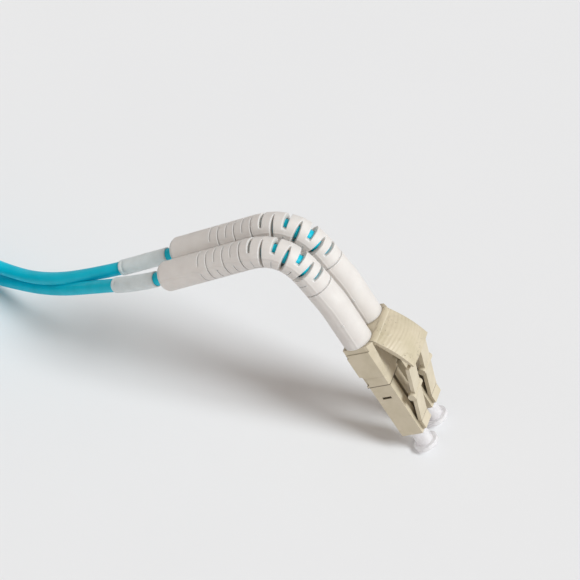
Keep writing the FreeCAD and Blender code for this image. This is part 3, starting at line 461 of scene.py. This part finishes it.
def strap_fabric():
    """Woven nylon with a looped face: a dark grey tape whose cross threads, 0.5 mm apart, show as fine ribs,
    with a soft dusty sheen from the loops.  The UV map is in millimetres along and across the tape."""
    material, tree, shader = new_material("Nylon tape, woven")
    flat = add_node(tree, "ShaderNodeTexCoord").outputs["UV"]
    weft = add_node(tree, "ShaderNodeTexWave", {"bands_direction": "X"}, Vector=flat, Scale=wave_scale(0.5),
                    Distortion=0.6, Detail=1.0)
    warp = add_node(tree, "ShaderNodeTexWave", {"bands_direction": "Y"}, Vector=flat, Scale=wave_scale(0.4),
                    Distortion=0.6, Detail=1.0)
    thread = add_node(tree, "ShaderNodeMath", {"operation": "MAXIMUM"}, n_0=weft.outputs["Fac"],
                      n_1=warp.outputs["Fac"])
    fuzz = add_node(tree, "ShaderNodeTexNoise", Vector=flat, Scale=3.0, Detail=4.0)
    height = add_node(tree, "ShaderNodeMath", {"operation": "ADD"}, n_0=thread.outputs["Value"],
                      n_1=fuzz.outputs["Fac"])
    tone = add_node(tree, "ShaderNodeMix", {"data_type": "RGBA"}, n_0=height.outputs["Value"],
                    n_6=(*linear("1C1D20"), 1), n_7=(*linear("3A3C40"), 1))
    bump = add_node(tree, "ShaderNodeBump", Distance=0.0001, Height=height.outputs["Value"])
    feed(shader, Base_Color=tone.outputs[2], Normal=bump.outputs["Normal"], Roughness=0.85,
         Sheen_Weight=0.4, Sheen_Roughness=0.4)
    return material


def floor_paper(settings):
    """Matt paper: an even pale grey with a barely visible cloudiness of its pulp."""
    material, tree, shader = new_material("Matt paper")
    place = add_node(tree, "ShaderNodeTexCoord").outputs["Object"]
    pulp = add_node(tree, "ShaderNodeTexNoise", Vector=place, Scale=22.0, Detail=4.0)
    tone = add_node(tree, "ShaderNodeMix", {"data_type": "RGBA"}, n_0=pulp.outputs["Fac"],
                    n_6=(*settings.floor_colour, 1), n_7=(*linear("EAEAEB"), 1))
    feed(shader, Base_Color=tone.outputs[2], Roughness=0.85, Specular_IOR_Level=0.25)
    return material


def wear(node, material):
    """Puts a material on every slot of a CAD node."""
    piece = frame["nodes"][node]
    if not piece.material_slots:
        piece.data.materials.append(material)
    for place in piece.material_slots:
        place.material = material


# ---- cords

def route_shift():
    """What moves the route's millimetres into the frame: the hank's near end gives it."""
    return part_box("cord_hank")[1].x - HANK_END_X * MM


def hank_turns(side, settings):
    """Control points of a cord's turns in the hank: a loop of two folds joined by straight runs.

    At the angle a of a turn: x = centre + sign(cos a) * fold + radius * cos a, y = centre + radius * sin a.
    The radius steps inwards or outwards by one diameter a turn and the height by one diameter a layer.
    fold = half the straight run + 0.6 mm - 0.3 mm for each turn further in + 0.4 mm of waves between layers.
    """
    low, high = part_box("cord_hank")
    centre_x, centre_y = (low.x + high.x) / 2, (low.y + high.y) / 2
    thick = settings.cord_diameter
    half = settings.hank_straight / 2
    outer = (high.y - low.y) / 2 - thick / 2
    per_turn = settings.points_per_turn
    points = []
    for layer in range(LAYERS):
        order = range(TURNS_ACROSS)
        for column in order if layer % 2 == 0 else reversed(order):
            for step in range(per_turn):
                angle = math.pi / 2 + 2 * math.pi * (step + 0.5) / per_turn
                reach = (outer - column * thick) / math.cos(math.pi / per_turn)
                level = FIRST_LAYER[side] + layer
                fold = half + (0.0006 - 0.0003 * column) + 0.0004 * math.sin(2.1 * level + math.cos(angle))
                points.append((centre_x + math.copysign(fold, math.cos(angle)) + reach * math.cos(angle),
                               centre_y + reach * math.sin(angle),
                               low.z + (level + 0.5) * thick))
    return points


def cord_points(side, settings):
    """All the control points of a cord, from just inside its boot to its cut end in the hank."""
    shift = route_shift()
    route = [(x * MM + shift, y * MM, z * MM) for x, y, z in [BOOT_MOUTH[side], *CORD_ROUTE[side]]]
    return route + hank_turns(side, settings)


def cord_curve(name, points, thick):
    """A smooth round cord with these control points and the diameter thick."""
    curve = bpy.data.curves.new(name, "CURVE")
    curve.dimensions = "3D"
    spline = curve.splines.new("NURBS")
    spline.points.add(len(points) - 1)
    spline.points.foreach_set("co", [value for point in points for value in (*point, 1.0)])
    spline.order_u = 3
    spline.use_endpoint_u = True
    spline.resolution_u = 8
    curve.bevel_depth = thick / 2
    curve.bevel_resolution = 6
    curve.use_fill_caps = True
    piece = bpy.data.objects.new(name, curve)
    bpy.context.scene.collection.objects.link(piece)
    return piece


def centreline(piece):
    """Places along a cord's own smooth line, read from a copy of its curve without thickness."""
    bare = piece.data.copy()
    bare.bevel_depth = 0
    carrier = bpy.data.objects.new("line", bare)
    mesh = bpy.data.meshes.new_from_object(carrier)
    places = np.empty(len(mesh.vertices) * 3)
    mesh.vertices.foreach_get("co", places)
    bpy.data.objects.remove(carrier)
    bpy.data.meshes.remove(mesh)
    bpy.data.curves.remove(bare)
    return places.reshape(-1, 3)


def stretch_of(places, start, end, count):
    """count places at even distances along a line, between two distances from its start."""
    distances, at = np.linspace(start, end, count), walked(places)
    return np.stack([np.interp(distances, at, places[:, axis]) for axis in range(3)], axis=1)


# ---- sleeves, strap, held cords, the trigger's root and gate marks

def sleeve_surface(line, thick):
    """The sleeve: a round of radius r(s) carried along the cord, outside going and inside coming back.

    r(s) = 1.42 mm, less a drop of 0.18 mm at both ends, as a quarter circle over 0.25 mm, less a bell-shaped
    groove of 0.1 mm at 0.9 mm from the far end, plus 0.015 mm of slow waves along and round it.
    """
    path = stretch_of(line, SLEEVE_FROM * MM, (SLEEVE_FROM + SLEEVE_LONG) * MM, SLEEVE_ROWS)
    s = np.linspace(0.0, SLEEVE_LONG, SLEEVE_ROWS)[:, None]
    angle = np.linspace(0, 2 * math.pi, SLEEVE_ROUND, endpoint=False)[None, :]
    end = np.clip(np.minimum(s, SLEEVE_LONG - s) / 0.25, 0, 1)
    groove = np.exp(-((s - SLEEVE_LONG + 0.9) / 0.22) ** 2)
    waves = end * np.sin(1.9 * s + 2 * angle) * np.sin(0.7 * s + 1.0)
    radius = (1.24 + 0.18 * np.sqrt(1 - (1 - end) ** 2) - 0.10 * groove + 0.015 * waves) * MM
    bore = np.full_like(radius, thick / 2 + 0.02 * MM)
    up = (0, 0, 1)
    outside = carried_profile(path, ring(radius, angle), up)
    inside = carried_profile(path, ring(bore, angle), up)
    return np.concatenate([outside, inside[::-1]]).reshape(-1, 3)


def strap_surface():
    """The strap: a flat tape carried once and a quarter round the hank, its end lying over its start.

    At the angle a the path is centre + half size * sign(cos a) |cos a|^(1/4), and the same with the sine
    upwards, and its second layer stands 1.1 thicknesses further out.  The tape is a flattened superellipse.
    Returns the places, the UV map in millimetres, and the faces.
    """
    low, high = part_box("hank_tie")
    thick, wide = 0.75 * MM, (high.x - low.x) * 0.94
    half_y, half_z = (high.y - low.y) / 2 - thick / 2, (high.z - low.z) / 2 - thick / 2
    first = 0.62
    turn = np.linspace(first, first + 2.36 * math.pi, STRAP_ROWS)
    lift = thick * 1.1 * ramp(turn, first + 1.75 * math.pi, first + 1.95 * math.pi)
    y, z = bulged(np.cos(turn), 0.25) * half_y, bulged(np.sin(turn), 0.25) * half_z
    path = np.stack([np.full_like(turn, (low.x + high.x) / 2), y, z], axis=-1)
    outward = unit(np.cross(np.gradient(path, axis=0), [1.0, 0.0, 0.0]))
    path = path + outward * lift[:, None] + np.array([0.0, (low.y + high.y) / 2, (low.z + high.z) / 2])
    angle = np.linspace(0, 2 * math.pi, STRAP_ROUND, endpoint=False)
    flat, broad = bulged(np.sin(angle), 0.4) * thick / 2, bulged(np.cos(angle), 0.2) * wide / 2
    places = (path[:, None, :] + outward[:, None, :] * flat[None, :, None]
              + np.array([1.0, 0.0, 0.0]) * broad[None, :, None]).reshape(-1, 3)
    spread = np.stack(np.broadcast_arrays(walked(path)[:, None] / MM, broad[None, :] / MM), axis=-1)
    faces = grid_faces(STRAP_ROWS, STRAP_ROUND, False, True) + end_faces(STRAP_ROWS, STRAP_ROUND)
    return places, spread.reshape(-1, 2), faces


def held_surface(side, thick):
    """The stretch of cord inside a boot: a round carried along the boot's line, pressed outwards in its bend.

    At the distance s from the boot's front end the line has turned by the degrees of KINK and of BEND, each
    times its ramp, and a place on it is the sum of its steps; hug = 0.32 mm * ramp up * ramp down moves it
    outwards.  The squeeze of the bend makes its radius 0.14 mm larger there.
    """
    step, fine = 0.2, 0.05
    s = np.arange(HELD_FROM, HELD_TO + step / 2, step)
    walk = np.arange(0.0, HELD_TO + fine / 2, fine)
    turn = np.radians(KINK[0] * ramp(walk, *KINK[1:]) + BEND[0] * ramp(walk, *BEND[1:]))
    x, z = BOOT_FROM_FACE - summed(np.cos(turn), fine), -summed(np.sin(turn), fine)
    hug = 0.32 * ramp(walk, 11.0, 15.0) * (1 - ramp(walk, 29.0, 38.0))
    x, z = x - hug * np.sin(turn), z + hug * np.cos(turn)
    low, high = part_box(f"{side}_boot")
    middle = np.full_like(s, (low.y + high.y) / 2 / MM)
    path = plug_place(np.interp(s, walk, x), middle, np.interp(s, walk, z))
    angle = np.linspace(0, 2 * math.pi, HELD_ROUND + 1)
    radius = (thick / 2 + 0.14 * MM * ramp(s, 10.0, 14.0) * (1 - ramp(s, 30.0, 38.0)))[:, None]
    places = carried_profile(path, ring(radius, angle), (0, 1, 0)).reshape(-1, 3)
    # The first and the last place round it are the same, so that v runs from 0 to 1 without a jump; u is s
    # over a round length of 60 mm.
    spread = np.stack(np.broadcast_arrays(s[:, None] / 60, angle[None, :] / (2 * math.pi)), axis=-1)
    count = HELD_ROUND + 1
    faces = grid_faces(len(s), count, False, False) + end_faces(len(s), count, HELD_ROUND)
    return places, spread.reshape(-1, 2), faces


def root_skin():
    """The thin root by which the trigger hangs on the clip: a band of 0.05 mm over the gap, round its edge.

    At y the trigger's top leaves its root edge at the angle 64.1 - 18.8 (y / 4.2)^2 degrees.  The band's
    outer line climbs the clip's back face, at listed places, and then the top, at places counted from
    the root edge along the top and at right angles to it.  Its inner line is the outer one moved in.
    """
    y = np.linspace(-ROOT_HALF, ROOT_HALF, BAND_ROWS)[:, None]
    rise = np.radians(64.1 - 18.8 * (y / ROOT_HALF) ** 2)
    edge_x, edge_z = ROOT_EDGE
    along = np.array([0.10, 0.28, 0.50, 0.72])[None, :]
    out = np.array([0.050, 0.045, 0.030, -0.030])[None, :]
    top_x = edge_x + along * np.cos(rise) - out * np.sin(rise)
    top_z = edge_z + along * np.sin(rise) + out * np.cos(rise)
    back_x = np.broadcast_to([-21.22, -21.33, -21.35, -21.355, -21.34], (BAND_ROWS, 5))
    back_z = np.broadcast_to([2.70, 2.78, 2.95, 3.15, 3.32], (BAND_ROWS, 5))
    x, z = np.concatenate([back_x, top_x], axis=1), np.concatenate([back_z, top_z], axis=1)
    run_x, run_z = np.gradient(x, axis=1), np.gradient(z, axis=1)
    size = np.hypot(run_x, run_z)
    thin = 0.05
    inner_x, inner_z = x + thin * run_z / size, z - thin * run_x / size
    x = np.concatenate([x, inner_x[:, ::-1]], axis=1)
    z = np.concatenate([z, inner_z[:, ::-1]], axis=1)
    return plug_place(x, np.broadcast_to(y, x.shape), z).reshape(-1, 3)


def gate_dome(side):
    """The gate mark: a round button of 0.3 mm radius on the boot's parting line.

    height = 0.11 mm * (1 - (r / 0.3)^4) at the radius r, over a foot sunk 0.35 mm in the boot.
    """
    low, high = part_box(f"{side}_boot")
    centre_y, radius = (low.y + high.y) / 2 / MM, (high.y - low.y) / 2 / MM
    lean = math.radians(PARTING_ANGLE)
    angle = np.linspace(0, 2 * math.pi, GATE_ROUND, endpoint=False)[None, :]
    r = np.linspace(0.3, 0.02, GATE_ROWS - 1)[:, None]
    height = np.concatenate([[[-0.35]], 0.11 * (1 - (r / 0.3) ** 4)])
    r = np.concatenate([[[0.3]], r])
    along, aside, height = np.broadcast_arrays(r * np.cos(angle), r * np.sin(angle), height)
    out = radius + height
    x = GATE_FROM_FACE + along
    y = centre_y - out * math.cos(lean) + aside * math.sin(lean)
    z = out * math.sin(lean) + aside * math.cos(lean)
    return plug_place(x, y, z).reshape(-1, 3)


# ---- settings shown in the sidebar

class ConnectorSettings(bpy.types.PropertyGroup):
    """Sizes and colours that a user would change."""

    cord_diameter: FloatProperty(name="Cord diameter", description="Outside of the cords' jacket",
                                 default=0.0024, unit="LENGTH", precision=4)
    cord_length: FloatProperty(name="Cord length", description="Real length of each cord",
                               default=1.0, unit="LENGTH")
    hank_straight: FloatProperty(name="Hank straight", description="Straight part of the hank's turns",
                                 default=0.020, unit="LENGTH", precision=4)
    points_per_turn: IntProperty(name="Points per turn", description="Control points of each turn",
                                 default=16, min=12)
    housing_colour: FloatVectorProperty(name="Housing", description="Moulded beige polymer", size=3,
                                        subtype="COLOR", default=linear("D4C8B0"), min=0, max=1)
    trigger_colour: FloatVectorProperty(name="Trigger", description="The same beige polymer", size=3,
                                        subtype="COLOR", default=linear("D0C3A9"), min=0, max=1)
    boot_colour: FloatVectorProperty(name="Boots", description="White flexible elastomer", size=3,
                                     subtype="COLOR", default=linear("E1DCD7"), min=0, max=1)
    cord_colour: FloatVectorProperty(name="Cords", description="Aqua extruded jacket", size=3,
                                     subtype="COLOR", default=linear("00C6DE"), min=0, max=1)
    label_colour: FloatVectorProperty(name="Labels", description="Bare white sleeves", size=3,
                                      subtype="COLOR", default=linear("DCE4E5"), min=0, max=1)
    cap_colour: FloatVectorProperty(name="Caps", description="Milky soft polymer", size=3,
                                    subtype="COLOR", default=linear("F8F5F6"), min=0, max=1)
    floor_colour: FloatVectorProperty(name="Floor", description="Pale paper sweep", size=3,
                                      subtype="COLOR", default=linear("E7E7E8"), min=0, max=1)
    room_light: FloatProperty(name="Room light", description="Even warm light from all round", default=0.40)
    lamp_light: FloatProperty(name="Lamp light", description="Strength of the soft lamp at the right",
                              default=2.62)
    fill_light: FloatProperty(name="Fill light", description="Strength of the wide lamp in front",
                              default=0.14)
    azimuth: FloatProperty(name="Azimuth", description="Camera's way round the object",
                           default=math.radians(17.76), subtype="ANGLE")
    elevation: FloatProperty(name="Elevation", description="Camera's height above the horizon",
                             default=math.radians(45.58), subtype="ANGLE")
    distance: FloatProperty(name="Distance", description="Camera to the point that it looks at",
                            default=0.442, unit="LENGTH")


def sizes():
    """The settings, as they stand in the sidebar."""
    return bpy.context.scene.connector


# ---- operators

class CONNECTOR_OT_cords(bpy.types.Operator):
    """Adds both free cords, each with its unseen length folded into the hank"""

    bl_idname = "connector.cords"
    bl_label = "Free cords"

    def execute(self, context):
        settings = sizes()
        jacket = jacket_plastic(settings)
        for side in SIDES:
            points = cord_points(side, settings)
            piece = cord_curve(f"{side}_free_cord", points, settings.cord_diameter)
            piece.data.materials.append(jacket)
            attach(piece, ROOT)
            nodes = ["near_cord", "cord_hank"] if side == "near" else ["far_cord"]
            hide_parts(*nodes)

            places, spread, faces = held_surface(side, settings.cord_diameter)
            piece = shown_mesh(f"{side}_cord_in_boot", places, faces, spread=spread)
            piece.data.materials.append(jacket)
            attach(piece, ROOT)
            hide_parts(f"{side}_held_cord")
        return {"FINISHED"}


class CONNECTOR_OT_labels(bpy.types.Operator):
    """Adds the bare label sleeve of each cord, with the lip and the collar that its shrinking leaves"""

    bl_idname = "connector.labels"
    bl_label = "Label sleeves"

    def execute(self, context):
        settings = sizes()
        sleeve = sleeve_plastic(settings)
        for side in SIDES:
            line = centreline(bpy.data.objects[f"{side}_free_cord"])
            faces = grid_faces(2 * SLEEVE_ROWS, SLEEVE_ROUND, True, True)
            piece = shown_mesh(f"{side}_label", sleeve_surface(line, settings.cord_diameter), faces)
            piece.data.materials.append(sleeve)
            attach(piece, ROOT)
            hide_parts(f"{side}_label_sleeve")
        return {"FINISHED"}


class CONNECTOR_OT_strap(bpy.types.Operator):
    """Adds the woven strap round the hank"""

    bl_idname = "connector.strap"
    bl_label = "Hank strap"

    def execute(self, context):
        places, spread, faces = strap_surface()
        piece = shown_mesh("hank_strap", places, faces, spread=spread)
        piece.data.materials.append(strap_fabric())
        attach(piece, ROOT)
        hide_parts("hank_tie")
        return {"FINISHED"}


class CONNECTOR_OT_boots(bpy.types.Operator):
    """Gives the boots their soft white finish and adds the mark that the moulding gate leaves on each"""

    bl_idname = "connector.boots"
    bl_label = "Boots"

    def execute(self, context):
        settings = sizes()
        for side in SIDES:
            rubber = boot_rubber(settings, side)
            wear(f"{side}_boot", rubber)
            faces = grid_faces(GATE_ROWS, GATE_ROUND, False, True) + end_faces(GATE_ROWS, GATE_ROUND)
            piece = shown_mesh(f"{side}_gate_mark", gate_dome(side), faces)
            piece.data.materials.append(rubber)
            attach(piece, ROOT)
        return {"FINISHED"}


class CONNECTOR_OT_housings(bpy.types.Operator):
    """Gives the plugs, clip, latch arms, rear bodies and trigger their finish, and adds the trigger's root"""

    bl_idname = "connector.housings"
    bl_label = "Moulded housings"

    def execute(self, context):
        settings = sizes()
        beige = housing_plastic(settings)
        for side in SIDES:
            for part in ("plug_housing", "latch_arm", "rear_body"):
                wear(f"{side}_{part}", beige)
        wear("duplex_clip", clip_plastic(settings))
        milled = trigger_plastic(settings)
        wear("trigger", milled)
        faces = grid_faces(BAND_ROWS, BAND_ROUND, False, True) + end_faces(BAND_ROWS, BAND_ROUND)
        band = shown_mesh("trigger_root", root_skin(), faces)
        band.data.materials.append(milled)
        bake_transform(band)
        return {"FINISHED"}


class CONNECTOR_OT_inner_parts(bpy.types.Operator):
    """Gives the ferrules, flanges, springs, crimp sleeves and inner tubes their finishes"""

    bl_idname = "connector.inner_parts"
    bl_label = "Ferrules and inner parts"

    def execute(self, context):
        # Polypropylene, extruded: a plain milky white with a low shine.
        tube = skin("Polypropylene tube, extruded", linear("E2E1DC"), linear("D8D6CF"), 0.002, (0.35, 0.5),
                    (0.0004, 0.00001), 0.00006)[0]
        finishes = {
            "ferrule": ferrule_ceramic(),
            # Nickel plate on turned brass: a warm bright grey, with fine rings left by the lathe.
            "ferrule_flange": metal_skin("Brass, nickel-plated", linear("C9C3B8"), linear("BDB6A9"),
                                         (0.2, 0.32), (0.0001, 0.000003)),
            # Stainless wire, drawn: a cool grey with a dull shine.
            "ferrule_spring": metal_skin("Stainless wire, drawn", linear("C6C6C8"), linear("AFAFB2"),
                                         (0.28, 0.4), (0.0001, 0.000004)),
            # Soft brass, crimped: a yellow grey, dulled and dented by the tool.
            "crimp_sleeve": metal_skin("Brass sleeve, crimped", linear("D2BE8C"), linear("B79F6C"),
                                       (0.3, 0.45), (0.0005, 0.00002)),
            "fibre_tube": tube,
        }
        for side in SIDES:
            for part, finish in finishes.items():
                wear(f"{side}_{part}", finish)
        return {"FINISHED"}


class CONNECTOR_OT_caps(bpy.types.Operator):
    """Gives the dust caps their milky see-through finish"""

    bl_idname = "connector.caps"
    bl_label = "Dust caps"

    def execute(self, context):
        milky = cap_plastic(sizes())
        for side in SIDES:
            wear(f"{side}_dust_cap", milky)
        return {"FINISHED"}


class CONNECTOR_OT_declare(bpy.types.Operator):
    """A last step that does nothing"""

    bl_idname = "connector.declare_cords"
    bl_label = "Declare cords"

    def execute(self, context):
        return {"FINISHED"}


class CONNECTOR_OT_stage(bpy.types.Operator):
    """Adds the pale floor, the soft light and the camera"""

    bl_idname = "connector.stage"
    bl_label = "Studio"

    def execute(self, context):
        settings = sizes()
        scene = context.scene
        corners = np.array([(-1, -1, 0), (1, -1, 0), (1, 1, 0), (-1, 1, 0)]) * FLOOR_HALF
        floor = shown_mesh("floor", corners, [(0, 1, 2, 3)])
        floor.data.materials.append(floor_paper(settings))

        world = bpy.data.worlds.new("Soft room")
        scene.world = world
        world.use_nodes = True
        tree = world.node_tree
        tree.nodes.clear()
        path = add_node(tree, "ShaderNodeLightPath")
        seen = add_node(tree, "ShaderNodeMath", {"operation": "ADD"}, n_0=path.outputs["Is Camera Ray"],
                        n_1=path.outputs["Is Glossy Ray"])
        seen = add_node(tree, "ShaderNodeMath", {"operation": "ADD", "use_clamp": True},
                        n_0=seen.outputs["Value"], n_1=path.outputs["Is Transmission Ray"])
        # The room is a little warm and the lamp a little cool, so shadows are warm and lit parts neutral.
        room = add_node(tree, "ShaderNodeBackground", Color=(1.0, 0.91, 0.85, 1),
                        Strength=settings.room_light)
        wall = add_node(tree, "ShaderNodeBackground", Color=(*settings.floor_colour, 1), Strength=1.0)
        mixed = add_node(tree, "ShaderNodeMixShader", n_0=seen.outputs["Value"],
                         n_1=room.outputs["Background"], n_2=wall.outputs["Background"])
        add_node(tree, "ShaderNodeOutputWorld", Surface=mixed.outputs["Shader"])

        for name, power, wide, colour, origin in (
                ("Soft lamp", settings.lamp_light, 22, (0.915, 0.97, 1.0), LAMP_FROM),
                ("Wide fill", settings.fill_light, 80, (1.0, 0.98, 0.95), FILL_FROM)):
            light = bpy.data.lights.new(name, "SUN")
            light.energy, light.angle, light.color = power, math.radians(wide), colour
            lamp = bpy.data.objects.new(name, light)
            scene.collection.objects.link(lamp)
            lamp.rotation_euler = Vector(origin).to_track_quat("Z", "Y").to_euler()

        data = bpy.data.cameras.new("Camera")
        data.lens = LENS
        data.sensor_width = 36
        data.clip_start = 0.01
        camera = bpy.data.objects.new("Camera", data)
        scene.collection.objects.link(camera)
        turn, rise = settings.azimuth, settings.elevation
        back = Vector((math.sin(turn) * math.cos(rise), -math.cos(turn) * math.cos(rise), math.sin(rise)))
        x, y, z = (value * MM for value in LOOK_AT)
        camera.location = Vector((x + route_shift(), y, z)) + back * settings.distance
        camera.rotation_euler = back.to_track_quat("Z", "Y").to_euler()
        scene.camera = camera
        scene.view_settings.view_transform = "Standard"
        return {"FINISHED"}


class CONNECTOR_PT_panel(bpy.types.Panel):
    """The sidebar tab with the connector's sizes, colours and steps"""

    bl_idname = "CONNECTOR_PT_panel"
    bl_label = "Duplex fibre connector"
    bl_space_type = "VIEW_3D"
    bl_region_type = "UI"
    bl_category = "Connector"

    def draw(self, context):
        settings = context.scene.connector
        for name in settings.bl_rna.properties.keys():
            if name not in ("rna_type", "name"):
                self.layout.prop(settings, name)
        for step in STEPS:
            self.layout.operator(step.bl_idname)


STEPS = (CONNECTOR_OT_stage, CONNECTOR_OT_cords, CONNECTOR_OT_labels, CONNECTOR_OT_strap, CONNECTOR_OT_boots,
         CONNECTOR_OT_housings, CONNECTOR_OT_inner_parts, CONNECTOR_OT_caps, CONNECTOR_OT_declare)
CLASSES = (ConnectorSettings, *STEPS, CONNECTOR_PT_panel)


def register():
    """Adds the settings, the operators and the panel."""
    for each in CLASSES:
        bpy.utils.register_class(each)
    bpy.types.Scene.connector = PointerProperty(type=ConnectorSettings)


def unregister():
    """Takes them away again."""
    del bpy.types.Scene.connector
    for each in reversed(CLASSES):
        bpy.utils.unregister_class(each)


def main():
    """Runs every step once."""
    register()
    for step in STEPS:
        group, name = step.bl_idname.split(".")
        getattr(getattr(bpy.ops, group), name)()


if __name__ == "__main__":
    main()
